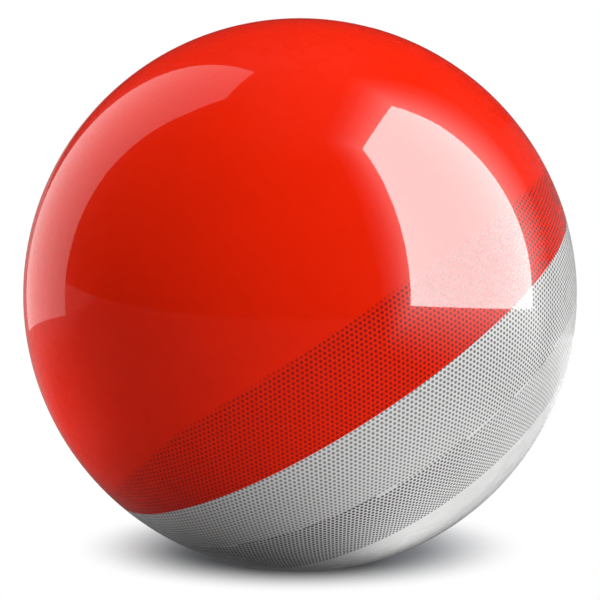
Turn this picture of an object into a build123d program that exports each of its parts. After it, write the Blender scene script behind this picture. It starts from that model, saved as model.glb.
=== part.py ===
from build123d import *
import os

# Ten-pin bowling ball, not yet drilled: resin cast in layers, each one round the last.
# Millimetres, +Z up. The origin is the centre of the ball, and the locator pin comes out along +Y.

# Ball
ball_diameter = 217.2
cover_thickness = 19.0

# Weight block, turned about the pin axis. Its lengths follow one another from the base to the boss.
block_base_height = -50.0  # along the pin axis, from the centre of the ball
base_diameter = 48.0
base_length = 22.0
bulb_diameter = 98.0
bulb_length = 26.0
shoulder_length = 36.0
waist_diameter = 56.0
throat_length = 12.0
crown_diameter = 80.0
crown_length = 13.0
boss_diameter = 30.0
boss_length = 8.0
base_edge_radius = 8.0
bulb_edge_radius = 24.0
waist_radius = 16.0
crown_chamfer = 3.0

# Scallops down the bulb, which key the weight block into the filler
scallop_count = 6
scallop_radius = 18.0
scallop_depth = 8.0

# Locator pin, the dowel that held the weight block in its mould
pin_diameter = 11.1
pin_seat_depth = 14.0
pin_tip_chamfer = 1.5

ball_radius = ball_diameter / 2
core_radius = ball_radius - cover_thickness
bulb_top = base_length + bulb_length
waist_height = bulb_top + shoulder_length
crown_bottom = waist_height + throat_length
crown_top = crown_bottom + crown_length
boss_top = crown_top + boss_length
pin_seat_height = block_base_height + boss_top - pin_seat_depth


def along_pin(height):
    """The plane square to the pin axis at a height along it, facing outward."""
    return Plane(origin=(0, height, 0), x_dir=(1, 0, 0), z_dir=(0, 1, 0))


def cast_round(*pieces):
    """Leave out of the solid being built the room that pieces cast before it take up."""
    for piece in pieces:
        add(piece.part, mode=Mode.SUBTRACT)


# Dowel, with its outer end dressed flush with the ball
with BuildPart() as locator_pin:
    with BuildSketch(along_pin(pin_seat_height)):
        Circle(pin_diameter / 2)
    extrude(amount=ball_diameter)
    chamfer(locator_pin.edges().sort_by(Axis.Y)[0], pin_tip_chamfer)
    Sphere(ball_radius, mode=Mode.INTERSECT)

# Dense core. Half of its outline is drawn from the base up and turned about the pin axis.
with BuildPart() as weight_block:
    with BuildSketch(Plane(origin=(0, block_base_height, 0))):
        with BuildLine():
            FilletPolyline(
                (0, 0),
                (base_diameter / 2, 0),
                (bulb_diameter / 2, base_length),
                (bulb_diameter / 2, bulb_top),
                (waist_diameter / 2, waist_height),
                (crown_diameter / 2, crown_bottom),
                (crown_diameter / 2, crown_top),
                (boss_diameter / 2, crown_top),
                (boss_diameter / 2, boss_top),
                (0, boss_top),
                radius=[base_edge_radius, bulb_edge_radius, bulb_edge_radius, waist_radius, 0, 0, 0, 0],
            )
            Line((0, boss_top), (0, 0))
        make_face()
    revolve(axis=Axis.Y)
    with BuildSketch(along_pin(block_base_height)):
        scallop_circle_radius = bulb_diameter / 2 - scallop_depth + scallop_radius
        with PolarLocations(scallop_circle_radius, scallop_count, start_angle=180 / scallop_count):
            Circle(scallop_radius)
    extrude(amount=waist_height, mode=Mode.SUBTRACT)
    crown_face = weight_block.faces().filter_by(GeomType.PLANE).sort_by(Axis.Y)[-2]
    chamfer(crown_face.edges(), crown_chamfer)
    cast_round(locator_pin)

# Filler sphere of lighter resin, cast round the weight block
with BuildPart() as outer_core:
    Sphere(core_radius)
    cast_round(weight_block, locator_pin)

# Polyester cover, cast round the filler, then turned and polished to size
with BuildPart() as cover_shell:
    Sphere(ball_radius)
    Sphere(core_radius, mode=Mode.SUBTRACT)
    cast_round(locator_pin)

locator_pin.part.label = "locator_pin"
weight_block.part.label = "weight_block"
outer_core.part.label = "outer_core"
cover_shell.part.label = "cover_shell"

os.makedirs("parts", exist_ok=True)
export_step(locator_pin.part, "parts/locator_pin.step")
export_step(weight_block.part, "parts/weight_block.step")
export_step(outer_core.part, "parts/outer_core.step")
export_step(cover_shell.part, "parts/cover_shell.step")
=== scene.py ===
"""The looks of a glossy, printed ten-pin ball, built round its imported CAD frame."""
import math
import bpy
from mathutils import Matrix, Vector


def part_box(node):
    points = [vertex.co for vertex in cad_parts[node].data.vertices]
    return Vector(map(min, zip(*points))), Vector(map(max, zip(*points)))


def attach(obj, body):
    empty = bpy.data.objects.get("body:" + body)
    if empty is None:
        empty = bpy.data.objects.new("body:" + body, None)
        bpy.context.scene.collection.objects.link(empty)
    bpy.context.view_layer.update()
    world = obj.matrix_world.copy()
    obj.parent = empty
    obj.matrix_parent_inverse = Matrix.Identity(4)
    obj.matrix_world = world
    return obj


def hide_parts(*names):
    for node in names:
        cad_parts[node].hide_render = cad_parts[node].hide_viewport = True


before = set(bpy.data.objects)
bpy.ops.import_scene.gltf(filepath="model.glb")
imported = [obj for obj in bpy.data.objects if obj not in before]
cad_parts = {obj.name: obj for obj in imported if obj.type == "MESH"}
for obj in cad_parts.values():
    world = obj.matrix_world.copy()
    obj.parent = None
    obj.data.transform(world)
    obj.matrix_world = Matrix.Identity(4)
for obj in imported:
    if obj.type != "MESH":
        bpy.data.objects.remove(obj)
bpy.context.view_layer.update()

# ---- sizes, all from the frame, in metres ----
cover_low, cover_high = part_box("cover_shell")
core_low, core_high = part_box("outer_core")
pin_low, pin_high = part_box("locator_pin")
ball_middle = Vector((0, 0, (cover_low.z + cover_high.z) / 2))
ball_radius = min(cover_high.x, -cover_low.x, -cover_low.y)   # facets make it a hair under the CAD's
core_radius = (core_high.z - core_low.z) / 2
pin_radius = (pin_high.x - pin_low.x) / 2
floor_height = cover_low.z


def direction(heading, rise):
    """A unit vector: heading 0 faces the camera's side (-Y), 90 is +X; rise is degrees above level."""
    heading, rise = math.radians(heading), math.radians(rise)
    level = math.cos(rise)
    return Vector((math.sin(heading) * level, -math.cos(heading) * level, math.sin(rise)))


# ---- the print: circles drawn round the ball ----
class Circle:
    """A circle at a latitude about a pole, given by the pole's heading and rise."""

    def __init__(self, heading, rise, latitude):
        self.pole = direction(heading, rise)
        self.level = math.sin(math.radians(latitude))


red_edge = Circle(-78.0, 57.05, -15.7)        # red above, white below
dots_top = Circle(-96.6, 55.9, -5.95)         # dots start under both of these
dots_left_end = Circle(-94.2, 43.4, 1.65)
dots_top_fade = 0.022                         # how deep they grow from nothing there, in ball radii
ribbon_edge = Circle(-62.0, 56.8, -25.8)      # the two ribbons of dots meet here
dots_foot = Circle(-59.0, 54.6, -39.0)        # plain white below

# ---- its dots: each ribbon is a grid about an axis, with this many dots in a row round the ball ----
upper_axis = (-72.7, 56.0)
upper_round = 333
lower_axis = (-57.4, 53.8)
lower_round = 345
upper_dot = 0.30                              # a dot's radius, in the spacing of its row
lower_dot = 0.335
dot_blur = 0.05                               # its soft edge, in the same measure
row_gap = math.cos(math.radians(30))          # from one row to the next, in the same measure
# a ribbon's strength: the longitudes between which it changes, then what it is left and right of them
strength_on_red = (-60, 90, 0.50, 0.92)
strength_on_white = (0, 60, 0.68, 0.93)
lower_strength = (-10, 65, 0.91, 0.45)
fade_back = 120                               # from this longitude to the back it returns to the left's

print_red = (0.860, 0.016, 0.001)
print_white = (0.722, 0.722, 0.719)
ink = (0.012, 0.011, 0.011)
red_cloud = 0.98                              # the print's faint clouds, as a share of its colour
white_cloud = 0.99
print_roughness = (0.24, 0.32)

# the levels of a noise between which it turns from one look to the other
cloud_edge = (0.35, 0.65)
gloss_edge = (0.3, 0.7)
fleck_edge = (0.62, 0.70)


def axes(pole):
    """A pole, the direction square to it that faces front, and the one to the right of that."""
    front = (direction(0, 0) - pole * pole.dot(direction(0, 0))).normalized()
    return pole, front, pole.cross(front)


# ---- short ways to write shader nodes ----
def opaque(colour):
    return (*colour, 1.0)


class Nodes:
    """A node tree, with its nodes written as expressions."""

    def __init__(self, tree):
        self.tree = tree

    def add(self, kind, **settings):
        node = self.tree.nodes.new(kind)
        for name, value in settings.items():
            setattr(node, name, value)
        return node

    def put(self, socket, value):
        if isinstance(value, bpy.types.NodeSocket):
            self.tree.links.new(value, socket)
        else:
            socket.default_value = value

    def math(self, operation, *values):
        node = self.add("ShaderNodeMath", operation=operation)
        for socket, value in zip(node.inputs, values):
            self.put(socket, value)
        return node.outputs[0]

    def vector(self, operation, *values):
        node = self.add("ShaderNodeVectorMath", operation=operation)
        for socket, value in zip(node.inputs, values):
            self.put(socket, value)
        return node.outputs["Value" if operation in ("DOT_PRODUCT", "DISTANCE") else "Vector"]

    def scaled(self, vector, amount):
        node = self.add("ShaderNodeVectorMath", operation="SCALE")
        self.put(node.inputs[0], vector)
        self.put(node.inputs["Scale"], amount)
        return node.outputs["Vector"]

    def mix(self, amount, start, end):
        """A colour between two. A Mix node's inputs 6 and 7 and output 2 are its colours."""
        node = self.add("ShaderNodeMix", data_type="RGBA")
        self.put(node.inputs["Factor"], amount)
        self.put(node.inputs[6], start)
        self.put(node.inputs[7], end)
        return node.outputs[2]

    def blend(self, amount, start, end):
        """Like mix, for plain numbers, which are inputs 2 and 3 and output 0."""
        node = self.add("ShaderNodeMix", data_type="FLOAT")
        self.put(node.inputs[0], amount)
        self.put(node.inputs[2], start)
        self.put(node.inputs[3], end)
        return node.outputs[0]

    def ramp(self, value, low, high, start, end):
        """value, eased from low..high to start..end and held at both ends."""
        node = self.add("ShaderNodeMapRange", interpolation_type="SMOOTHSTEP")
        for socket, number in zip(node.inputs, (value, low, high, start, end)):
            self.put(socket, number)
        return node.outputs[0]

    def place(self):
        return self.add("ShaderNodeTexCoord").outputs["Object"]

    def noise(self, scale, detail=3.0, roughness=0.5):
        node = self.add("ShaderNodeTexNoise")
        self.put(node.inputs["Vector"], self.place())
        for name, value in (("Scale", scale), ("Detail", detail), ("Roughness", roughness)):
            self.put(node.inputs[name], value)
        return node.outputs["Fac"]

    def light_path(self, kind):
        return self.add("ShaderNodeLightPath").outputs[kind]

    def diffuse(self, colour):
        node = self.add("ShaderNodeBsdfDiffuse")
        self.put(node.inputs["Color"], colour)
        return node.outputs[0]

    def glow(self, strength):
        node = self.add("ShaderNodeEmission")
        self.put(node.inputs["Strength"], strength)
        return node.outputs[0]

    def mix_shaders(self, amount, start, end):
        node = self.add("ShaderNodeMixShader")
        for socket, value in zip(node.inputs, (amount, start, end)):
            self.put(socket, value)
        return node.outputs[0]


class Shader(Nodes):
    """A new material, with its Principled node as its surface until another is shown instead."""

    def __init__(self, name):
        self.material = bpy.data.materials.new(name)
        self.material.use_nodes = True
        super().__init__(self.material.node_tree)
        self.surface = self.tree.nodes["Principled BSDF"]

    def show(self, shader):
        self.put(self.tree.nodes["Material Output"].inputs["Surface"], shader)

    def bump(self, height, strength, distance):
        node = self.add("ShaderNodeBump")
        for name, value in (("Strength", strength), ("Distance", distance), ("Height", height)):
            self.put(node.inputs[name], value)
        self.put(self.surface.inputs["Normal"], node.outputs["Normal"])

    def polish(self):
        """The clear gloss of the finished ball, over a surface that hardly shines of itself."""
        self.put(self.surface.inputs["Coat Weight"], 0.7)
        self.put(self.surface.inputs["Coat Roughness"], 0.02)
        self.put(self.surface.inputs["Specular IOR Level"], 0.012)


# ---- the printed cover's material ----
class DotGrid:
    """Rows of round dots about an axis, staggered, evenly spaced on a Mercator map of the ball."""

    def __init__(self, sh, point, axis, dots_round):
        self.axis, self.front, self.side = axes(direction(*axis))
        turn = 2 * math.pi / dots_round
        height = sh.vector("DOT_PRODUCT", point, self.axis)
        front = sh.vector("DOT_PRODUCT", point, self.front)
        side = sh.vector("DOT_PRODUCT", point, self.side)
        longitude = sh.math("ARCTAN2", side, front)
        ratio = sh.math("DIVIDE", sh.math("ADD", 1.0, height), sh.math("SUBTRACT", 1.0, height))
        rows = sh.math("DIVIDE", sh.math("LOGARITHM", ratio, math.e), 2 * turn * row_gap)
        row = sh.math("ROUND", rows)
        shift = sh.math("MULTIPLY", sh.math("PINGPONG", row, 1.0), 0.5)
        columns = sh.math("SUBTRACT", sh.math("DIVIDE", longitude, turn), shift)
        column = sh.math("ROUND", columns)
        across = sh.math("SUBTRACT", columns, column)
        along = sh.math("MULTIPLY", sh.math("SUBTRACT", rows, row), row_gap)
        self.distance = sh.math("SQRT", sh.math(
            "ADD", sh.math("MULTIPLY", across, across), sh.math("MULTIPLY", along, along)))
        self.centre = self.dot_centre(sh, row, sh.math("ADD", column, shift), turn)

    def dot_centre(self, sh, row, column, turn):
        rise = sh.math("MULTIPLY", row, turn * row_gap)
        self.longitude = sh.math("MULTIPLY", column, turn)
        flat = sh.math("DIVIDE", 1.0, sh.math("COSH", rise))
        front = sh.scaled(self.front, sh.math("MULTIPLY", flat, sh.math("COSINE", self.longitude)))
        side = sh.scaled(self.side, sh.math("MULTIPLY", flat, sh.math("SINE", self.longitude)))
        up = sh.scaled(self.axis, sh.math("TANH", rise))
        return sh.vector("ADD", up, sh.vector("ADD", front, side))

    def dots(self, sh, size):
        """1 on a dot, 0 between; size is a dot's radius in the spacing of its row."""
        return sh.ramp(self.distance, size - dot_blur, size + dot_blur, 1.0, 0.0)

    def fade(self, sh, start, end, left, right):
        """A strength that goes from left to right between two longitudes, and back behind the ball."""
        across = sh.ramp(self.longitude, math.radians(start), math.radians(end), left, right)
        return sh.ramp(self.longitude, math.radians(fade_back), math.pi, across, left)


def above(sh, point, circle):
    """1 on the pole's side of a circle, 0 below it."""
    height = sh.vector("DOT_PRODUCT", point, circle.pole)
    return sh.math("GREATER_THAN", height, circle.level)


def below_softly(sh, point, circle):
    """0 above a circle, growing to 1 a row or so below it."""
    height = sh.vector("DOT_PRODUCT", point, circle.pole)
    return sh.ramp(height, circle.level - dots_top_fade, circle.level + dots_top_fade / 4, 1.0, 0.0)


def upper_dots(sh, point):
    """Grey dots from the red's lower part down over the first white ribbon."""
    grid = DotGrid(sh, point, upper_axis, upper_round)
    top = sh.math("MULTIPLY", below_softly(sh, grid.centre, dots_top),
                  below_softly(sh, grid.centre, dots_left_end))
    inside = sh.math("MULTIPLY", top, above(sh, grid.centre, ribbon_edge))
    strength = sh.blend(above(sh, point, red_edge), grid.fade(sh, *strength_on_white),
                        grid.fade(sh, *strength_on_red))
    return sh.math("MULTIPLY", grid.dots(sh, upper_dot), sh.math("MULTIPLY", inside, strength))


def lower_dots(sh, point):
    """The second ribbon's blacker dots, which pale towards the right."""
    grid = DotGrid(sh, point, lower_axis, lower_round)
    inside = sh.math("MULTIPLY", above(sh, grid.centre, dots_foot),
                     sh.math("SUBTRACT", 1.0, above(sh, grid.centre, ribbon_edge)))
    strength = grid.fade(sh, *lower_strength)
    return sh.math("MULTIPLY", grid.dots(sh, lower_dot), sh.math("MULTIPLY", inside, strength))


def printed_cover():
    """Red over white, with two ribbons of fine dots between, under a clear gloss."""
    sh = Shader("printed_cover")
    point = sh.vector("NORMALIZE", sh.place())
    inked = sh.math("MAXIMUM", upper_dots(sh, point), lower_dots(sh, point))
    cloud = sh.ramp(sh.noise(scale=55.0, detail=4.0), *cloud_edge, 0.0, 1.0)
    red = sh.mix(cloud, opaque(print_red), opaque(tuple(red_cloud * part for part in print_red)))
    white = sh.mix(cloud, opaque(print_white), opaque(tuple(white_cloud * part for part in print_white)))
    ground = sh.mix(above(sh, point, red_edge), white, red)
    sh.put(sh.surface.inputs["Base Color"], sh.mix(inked, ground, opaque(ink)))
    roughness = sh.ramp(sh.noise(scale=140.0), *gloss_edge, *print_roughness)
    sh.put(sh.surface.inputs["Roughness"], roughness)
    sh.bump(sh.noise(scale=700.0, detail=2.0), strength=0.02, distance=0.0001)
    sh.polish()
    return sh.material


# ---- the resins inside ----
dark_share = 0.8                    # a resin's darker clouds, as a share of its colour
most_dark = 0.5                     # and how far they and the flecks hide it
most_fleck = 0.7
roughness_spread = 0.06             # either side of a resin's own
fleck_fineness = 12                 # how many times finer than its clouds these are
gloss_fineness = 5
pit_fineness = 8


def cast_resin(name, colour, fleck, grain, roughness, polished=False):
    """A poured resin: cloudy pigment of this grain, fine filler flecks and a slightly pitted surface."""
    sh = Shader(name)
    cloud = sh.ramp(sh.noise(grain, detail=4.0), *cloud_edge, 0.0, most_dark)
    flecks = sh.ramp(sh.noise(grain * fleck_fineness, detail=2.0), *fleck_edge, 0.0, most_fleck)
    dark = tuple(dark_share * part for part in colour)
    clouded = sh.mix(cloud, opaque(colour), opaque(dark))
    sh.put(sh.surface.inputs["Base Color"], sh.mix(flecks, clouded, opaque(fleck)))
    sh.put(sh.surface.inputs["Roughness"],
           sh.ramp(sh.noise(grain * gloss_fineness), *gloss_edge,
                   roughness - roughness_spread, roughness + roughness_spread))
    sh.bump(sh.noise(grain * pit_fineness), strength=0.15, distance=0.0002)
    if polished:
        sh.polish()
    return sh.material


# ---- the cover's mesh ----
segments = 192                      # round the pin's axis
outer_rings = 96
inner_rings = 32
lip_radius = 0.0004                 # of the cover's rolled edge round the pin
lip_steps = 4


def arc(out, along, radius, start, end, steps):
    """Points of an arc with both its ends, about a middle given by its distance from the Y axis and its
    y. Angles are from +Y. Each point is (distance from the Y axis, y, normal out, normal along y)."""
    points = []
    for step in range(steps + 1):
        angle = start + (end - start) * step / steps
        across, up = math.sin(angle), math.cos(angle)
        points.append((out + radius * across, along + radius * up, across, up))
    return points


def ring_profile():
    """The shell's half outline, from the outside front, round the pin's hole, to the inside front."""
    lip_out = pin_radius + lip_radius
    lip_angle = math.asin(lip_out / (ball_radius - lip_radius))
    lip_along = (ball_radius - lip_radius) * math.cos(lip_angle)
    hole_angle = math.asin(pin_radius / core_radius)
    outside = arc(0, 0, ball_radius, math.pi, lip_angle, outer_rings)[1:]
    lip = arc(lip_out, lip_along, lip_radius, lip_angle, -math.pi / 2, lip_steps)[1:]
    inside = arc(0, 0, core_radius, hole_angle, math.pi, inner_rings)[:-1]
    return outside + lip + [(out, along, -across, -up) for out, along, across, up in inside]


def ring_faces(rings):
    """Faces that join rings of points, closed by the first point of all and the last."""
    last = 1 + rings * segments
    faces = []
    for segment in range(segments):
        following = (segment + 1) % segments
        faces.append((0, 1 + segment, 1 + following))
        for ring in range(rings - 1):
            near, far = 1 + ring * segments, 1 + (ring + 1) * segments
            faces.append((near + following, near + segment, far + segment, far + following))
        faces.append((last, last - segments + following, last - segments + segment))
    return faces


def cover_mesh():
    """The shell as a closed mesh, turned about the pin's axis, with exact normals."""
    profile = ring_profile()
    vertices = [Vector((0, -ball_radius, 0))]
    normals = [Vector((0, -1, 0))]
    for out, along, normal_out, normal_along in profile:
        for segment in range(segments):
            turn = 2 * math.pi * segment / segments
            ray = Vector((math.cos(turn), 0, math.sin(turn)))
            vertices.append(ray * out + Vector((0, along, 0)))
            normals.append(ray * normal_out + Vector((0, normal_along, 0)))
    vertices.append(Vector((0, -core_radius, 0)))
    normals.append(Vector((0, 1, 0)))
    mesh = bpy.data.meshes.new("printed_cover")
    mesh.from_pydata([ball_middle + vertex for vertex in vertices], [], ring_faces(len(profile)))
    mesh.polygons.foreach_set("use_smooth", [True] * len(mesh.polygons))
    add_bake_map(mesh)
    mesh.normals_split_custom_set_from_vertices([normal.normalized() for normal in normals])
    return mesh


# ---- the cover's map for baking: wide strips where the dots are, small areas for the plain rest ----
# longitudes and latitudes are about the red edge's pole, in degrees
map_gap = 0.004                       # left free round each area
strip_height = 0.39
back_height = 0.05
disc_size = 0.17
strip_end = 126.0                     # the two wide strips reach from the front to this longitude
strip_low, strip_high = -52.0, 6.0    # and hold these latitudes
back_low, back_high = -32.0, -9.0     # the dots keep to these behind, in a strip of their own
back_split = -15.0                    # behind, red and white part about here
face_reach = 2.0                      # how far a face may reach over its area's edge
red_widest, white_widest, inside_widest = 102.0, 62.0, 182.0    # from a round area's middle to its rim
inner_depth = 0.001                   # deeper than this under the surface is the shell's inside


def disc(longitude, colatitude, widest):
    """A point of a round area, by its angle from the area's middle."""
    reach = 0.5 * colatitude / widest
    turn = math.radians(longitude)
    return 0.5 + reach * math.cos(turn), 0.5 + reach * math.sin(turn)


def strip(longitude, latitude, start, end, low, high):
    """A point of a strip, by its share of the way along and up."""
    return ((longitude - start + face_reach) / (end - start + 2 * face_reach),
            (latitude - low + face_reach) / (high - low + 2 * face_reach))


disc_bottom = 2 * strip_height + back_height
# each area: its left, bottom, width and height in the map, and where in it a longitude and latitude lie
map_areas = {
    "left": (0, 0, 1, strip_height,
             lambda x, y: strip(x, y, -strip_end, 0, strip_low, strip_high)),
    "right": (0, strip_height, 1, strip_height,
              lambda x, y: strip(x, y, 0, strip_end, strip_low, strip_high)),
    "back": (0, 2 * strip_height, 1, back_height,
             lambda x, y: strip(x, y, strip_end, 360 - strip_end, back_low, back_high)),
    "red": (0, disc_bottom, disc_size, disc_size,
            lambda x, y: disc(x, 90 - y, red_widest)),
    "white": (disc_size, disc_bottom, disc_size, disc_size,
              lambda x, y: disc(x, 90 + y, white_widest)),
    "inside": (2 * disc_size, disc_bottom, disc_size, disc_size,
               lambda x, y: disc(x, 90 - y, inside_widest)),
}


def globe(point, about):
    """A point's longitude and latitude about these axes, in degrees."""
    pole, front, side = about
    ray = point.normalized()
    return (math.degrees(math.atan2(ray.dot(side), ray.dot(front))),
            math.degrees(math.asin(max(-1.0, min(1.0, ray.dot(pole))))))


def map_area(centre, bands):
    """The area of the map that a face belongs to, by its middle."""
    if centre.length < ball_radius - inner_depth:
        return "inside"
    longitude, latitude = globe(centre, bands)
    if abs(longitude) < strip_end:
        if strip_low < latitude < strip_high:
            return "left" if longitude < 0 else "right"
        return "red" if latitude > 0 else "white"
    if back_low < latitude < back_high:
        return "back"
    return "red" if latitude > back_split else "white"


def add_bake_map(mesh):
    """Lay each face in its area of the map. The shell's inside is laid about the ball's front."""
    bands = axes(red_edge.pole)
    front_pole = (Vector((0, -1, 0)), Vector((0, 0, 1)), Vector((1, 0, 0)))
    places = [vertex.co - ball_middle for vertex in mesh.vertices]
    by_band = [globe(place, bands) for place in places]
    by_front = [globe(place, front_pole) for place in places]
    flat = []
    for face in mesh.polygons:
        centre = face.center - ball_middle
        area = map_area(centre, bands)
        left, bottom, width, height, shape = map_areas[area]
        middle = globe(centre, front_pole if area == "inside" else bands)[0]
        if area == "back":
            middle %= 360
        for corner in face.vertices:
            longitude, latitude = (by_front if area == "inside" else by_band)[corner]
            longitude += 360 * round((middle - longitude) / 360)
            across, up = shape(longitude, latitude)
            flat += [left + map_gap + across * (width - 2 * map_gap),
                     bottom + map_gap + up * (height - 2 * map_gap)]
    mesh.uv_layers.new(name="OFBake").data.foreach_set("uv", flat)


def add_piece(name, mesh, material):
    piece = bpy.data.objects.new(name, mesh)
    piece.data.materials.append(material)
    bpy.context.collection.objects.link(piece)
    return piece


# ---- camera ----
camera_distance = 2.4
camera_rise = 9.0
camera_lens = 367.0
camera_reach = 30.0
aim_drop = 0.002                      # it looks this far under the ball's middle


def add_camera():
    camera = bpy.data.objects.new("camera", bpy.data.cameras.new("camera"))
    camera.data.lens = camera_lens
    camera.location = ball_middle + direction(0, camera_rise) * camera_distance
    aim = ball_middle - Vector((0, 0, aim_drop))
    camera.rotation_euler = (aim - camera.location).to_track_quat("-Z", "Y").to_euler()
    camera.data.clip_end = camera_reach
    bpy.context.collection.objects.link(camera)
    bpy.context.scene.camera = camera


# ---- lights ----
soft_room = 0.10                      # the room's own light on surfaces
glossy_room = 0.03                    # and what the gloss sees of it
card_lift = 0.001                     # a lamp on the floor lies this far above it
flag_gap = 0.0005                     # from the ball to a flag's inner edge
flag_steps = 36

# the windows' corners, and the right one's glow, as window_card takes them
right_window = ((-0.2208, -0.0522), (0.0053, -0.0844), (0.0041, 0.0186), (0.0052, 0.1217),
                (-0.0002, 0.1964), (-0.1207, 0.2121))
right_glow = ((-0.085, 0.070), ((1.0, 0.22), (1.18, 0.13), (1.36, 0.07), (1.6, 0.025), (2.0, 0.0)))
left_window = ((-0.03, -0.160), (0.312, -0.135), (0.245, 0.19), (0.198, 0.503), (0.137, 0.675),
               (-0.053, 0.616))


def soft_light(name, heading, rise, level, distance=1.6, width=0.9):
    """A square soft lamp that lights surfaces and casts soft shadows, but isn't mirrored by the gloss.
    level is about the brightness it gives to a white card facing it at the ball."""
    lamp = bpy.data.objects.new(name, bpy.data.lights.new(name, "AREA"))
    lamp.data.size = width
    lamp.data.energy = level * math.pi ** 2 * distance ** 2
    lamp.location = ball_middle + direction(heading, rise) * distance
    lamp.rotation_euler = (ball_middle - lamp.location).to_track_quat("-Z", "Y").to_euler()
    lamp.visible_glossy = False
    lamp.visible_camera = False
    bpy.context.collection.objects.link(lamp)
    return lamp


def floor_light(name, heading, level, distance, width):
    """A soft lamp lying on the floor and facing up, as a reflector card does."""
    card = soft_light(name, heading, 0, level, distance, width)
    card.location.z = floor_height + card_lift
    card.rotation_euler = (math.pi, 0, 0)


def glossy_card(name, points, faces, levels, radiance):
    """A glowing surface that only the gloss mirrors. Each point glows by its share of the radiance."""
    mesh = bpy.data.meshes.new(name)
    mesh.from_pydata([ball_middle + point for point in points], [], faces)
    mesh.attributes.new("level", "FLOAT", "POINT").data.foreach_set("value", levels)
    sh = Shader(name)
    level = sh.add("ShaderNodeAttribute", attribute_name="level").outputs["Fac"]
    sh.show(sh.glow(sh.math("MULTIPLY", level, radiance)))
    card = add_piece(name, mesh, sh.material)
    for sight in ("visible_camera", "visible_diffuse", "visible_transmission", "visible_shadow"):
        setattr(card, sight, False)


def glow_rings(corners, glow):
    """A soft rim round a panel: its points, numbered on from the panel's own, its faces and its levels."""
    (centre_x, centre_y), rings = glow
    points = []
    levels = []
    for size, level in rings:
        points += [(centre_x + (x - centre_x) * size, centre_y + (y - centre_y) * size)
                   for x, y in corners]
        levels += [level] * len(corners)
    faces = []
    for ring in range(1, len(rings)):
        near, far = ring * len(corners), (ring + 1) * len(corners)
        for corner in range(len(corners)):
            following = (corner + 1) % len(corners)
            faces.append((near + corner, near + following, far + following, far + corner))
    return points, faces, levels


def window_card(name, heading, lean, distance, corners, radiance, slope=0.0, glow=None):
    """A bright panel. corners are (along, up) on its plane, in metres from the foot of the line to the
    ball's middle, and along is to the left as the ball sees it. radiance is that at this foot, and a
    share of it, slope, is lost for each metre along. glow is a soft rim: the point that it spreads from,
    and then pairs of size and brightness, each a share of the panel's."""
    facing = direction(heading, lean)
    along = direction(heading + 90, 0)
    up = facing.cross(along)
    flat = list(corners)
    levels = [1.0 - slope * x for x, y in corners]
    faces = [tuple(range(len(corners)))]
    if glow:
        more_points, more_faces, more_levels = glow_rings(corners, glow)
        flat += more_points
        faces += more_faces
        levels += more_levels
    points = [facing * distance + along * x + up * y for x, y in flat]
    glossy_card(name, points, faces, levels, radiance)


def add_flag(name, heading, offset, start, end, width, low_light=1.0):
    """Part of a dim upright collar close round the ball, in a plane along this heading that is offset to
    its left. It runs from start to end degrees above level, up from the heading and over the top. It
    keeps the right window out of the gloss behind it, and is as dim as the room itself, but for its
    lower end, which is low_light times as bright."""
    ahead, left = direction(heading, 0), direction(heading + 90, 0)
    inner = math.sqrt(ball_radius ** 2 - offset ** 2) + flag_gap
    points = []
    levels = []
    for step in range(flag_steps + 1):
        turn = math.radians(start + (end - start) * step / flag_steps)
        ray = ahead * math.cos(turn) + Vector((0, 0, math.sin(turn)))
        points += [ray * size + left * offset for size in (inner, inner + width)]
        levels += [1.0 + (low_light - 1.0) * (1 - step / flag_steps) ** 3] * 2
    faces = [(2 * step, 2 * step + 1, 2 * step + 3, 2 * step + 2) for step in range(flag_steps)]
    glossy_card(name, points, faces, levels, glossy_room)


def add_lights():
    soft_light("key_light", heading=50, rise=12, level=0.45)
    soft_light("left_light", heading=-130, rise=5, level=0.67)
    soft_light("top_light", heading=0, rise=85, level=0.78)
    soft_light("back_light", heading=180, rise=60, level=0.28)
    soft_light("right_back_light", heading=135, rise=20, level=0.36)
    floor_light("left_card", heading=-90, level=0.54, distance=0.18, width=0.08)
    floor_light("right_card", heading=80, level=0.12, distance=0.13, width=0.05)
    floor_light("under_card", heading=40, level=0.125, distance=0.085, width=0.04)
    window_card("right_window", heading=85, lean=20, distance=0.2, corners=right_window, radiance=15.5,
                slope=2.0, glow=right_glow)
    window_card("left_window", heading=-140, lean=10, distance=0.4, corners=left_window, radiance=1.28)
    add_flag("side_flag", heading=90, offset=0.02, start=-10, end=75, width=0.065, low_light=20.0)
    add_flag("top_flag", heading=90, offset=-0.005, start=40, end=115, width=0.018)
    add_flag("front_flag", heading=0, offset=0.0, start=0, end=110, width=0.04)


# ---- floor and world ----
floor_reach = 8.0
# painted shadow: the grey the floor is given round the ball's foot, under the lamps' real shadow
painted_shadow_grey = (0.36, 0.37, 0.40)
shadow_back = 0.04                    # the soft shadow's middle, behind the ball's foot
shadow_fade = (0.042, 0.092)          # where the floor the camera sees turns white, from that middle
# how pale it is as it lights the ball from below: a painted shadow, darkest under this point, and growing
# pale between these distances from it
bounce_shadow_middle = (-0.08, 0.0, 0.0)
bounce_fade = (0.13, 0.26)
bounce_levels = (0.10, 0.85)
# a painted reflection: the floor glows for the gloss alone, dim in front, and past this depth in y as
# bright as the back, which itself brightens over this width in x
painted_reflection_front = 0.10
painted_reflection_depth = (0.05, 0.30)
painted_reflection_width = (-0.1, 0.2)
painted_reflection_back = (0.28, 0.95)


def seen_floor(sh, place):
    """What the camera sees: a painted grey shadow round the ball's foot, which also takes the ball's real
    shadow from the lamps, and white all round it.
    """
    away = sh.vector("DISTANCE", place, (0.0, shadow_back, floor_height))
    far = sh.ramp(away, *shadow_fade, 0.0, 1.0)
    return sh.mix_shaders(far, sh.diffuse(opaque(painted_shadow_grey)), sh.glow(1.0))


def shadowed_bounce_floor(sh, place):
    """What throws the lamps' light back up at the ball, with a painted shadow dark round the ball's foot.
    """
    away = sh.vector("DISTANCE", place, bounce_shadow_middle)
    return sh.diffuse(sh.ramp(away, *bounce_fade, *bounce_levels))


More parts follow.
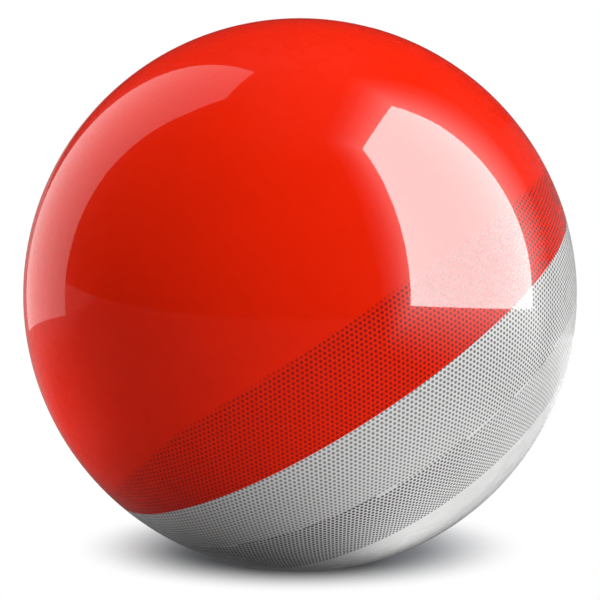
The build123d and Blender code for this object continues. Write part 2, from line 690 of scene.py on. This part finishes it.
def painted_floor_reflection(sh, place):
    """A painted reflection: the floor glows for the ball's gloss alone, dim in front and brighter behind,
    more so to the right.
    """
    parts = sh.add("ShaderNodeSeparateXYZ")
    sh.put(parts.inputs[0], place)
    back = sh.ramp(parts.outputs["X"], *painted_reflection_width, *painted_reflection_back)
    return sh.glow(sh.ramp(parts.outputs["Y"], *painted_reflection_depth, painted_reflection_front, back))


def add_floor():
    """A pale floor: painted grey round the ball's foot as a painted shadow that also keeps the ball's real
    shadow, painted dark there too where it lights the ball from below, and glowing for the gloss as a
    painted reflection; it runs out into the white background.
    """
    mesh = bpy.data.meshes.new("floor")
    corners = [(-floor_reach, -floor_reach), (floor_reach, -floor_reach),
               (floor_reach, floor_reach), (-floor_reach, floor_reach)]
    mesh.from_pydata([(x, y, floor_height) for x, y in corners], [], [(0, 1, 2, 3)])
    sh = Shader("floor")
    place = sh.place()
    unseen = sh.mix_shaders(sh.light_path("Is Glossy Ray"), shadowed_bounce_floor(sh, place),
                            painted_floor_reflection(sh, place))
    sh.show(sh.mix_shaders(sh.light_path("Is Camera Ray"), unseen, seen_floor(sh, place)))
    add_piece("floor", mesh, sh.material)


def set_world():
    """White for the camera and through clear parts, soft light on surfaces, a dim room for the gloss."""
    world = bpy.data.worlds.new("studio")
    world.use_nodes = True
    bpy.context.scene.world = world
    sky = Nodes(world.node_tree)
    seen = sky.math("MAXIMUM", sky.light_path("Is Camera Ray"), sky.light_path("Is Transmission Ray"))
    room = sky.blend(sky.light_path("Is Glossy Ray"), soft_room, glossy_room)
    background = sky.tree.nodes["Background"]
    sky.put(background.inputs["Color"], opaque((1.0, 1.0, 1.0)))
    sky.put(background.inputs["Strength"], sky.blend(seen, room, 1.0))


# ---- assembly ----
add_camera()
set_world()
add_lights()
add_floor()

cover = add_piece("cover", cover_mesh(), printed_cover())
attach(cover, "root")
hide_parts("cover_shell")

resins = {
    "outer_core": cast_resin("filler_resin", colour=(0.45, 0.40, 0.32), fleck=(0.62, 0.58, 0.50),
                             grain=40.0, roughness=0.55),
    "weight_block": cast_resin("dense_resin", colour=(0.10, 0.13, 0.20), fleck=(0.30, 0.33, 0.38),
                               grain=60.0, roughness=0.42),
    "locator_pin": cast_resin("pin_resin", colour=(0.80, 0.79, 0.76), fleck=(0.66, 0.64, 0.60),
                              grain=120.0, roughness=0.22, polished=True),
}
for node, material in resins.items():
    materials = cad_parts[node].data.materials
    materials.clear()
    materials.append(material)

bpy.context.scene.view_settings.view_transform = "Standard"
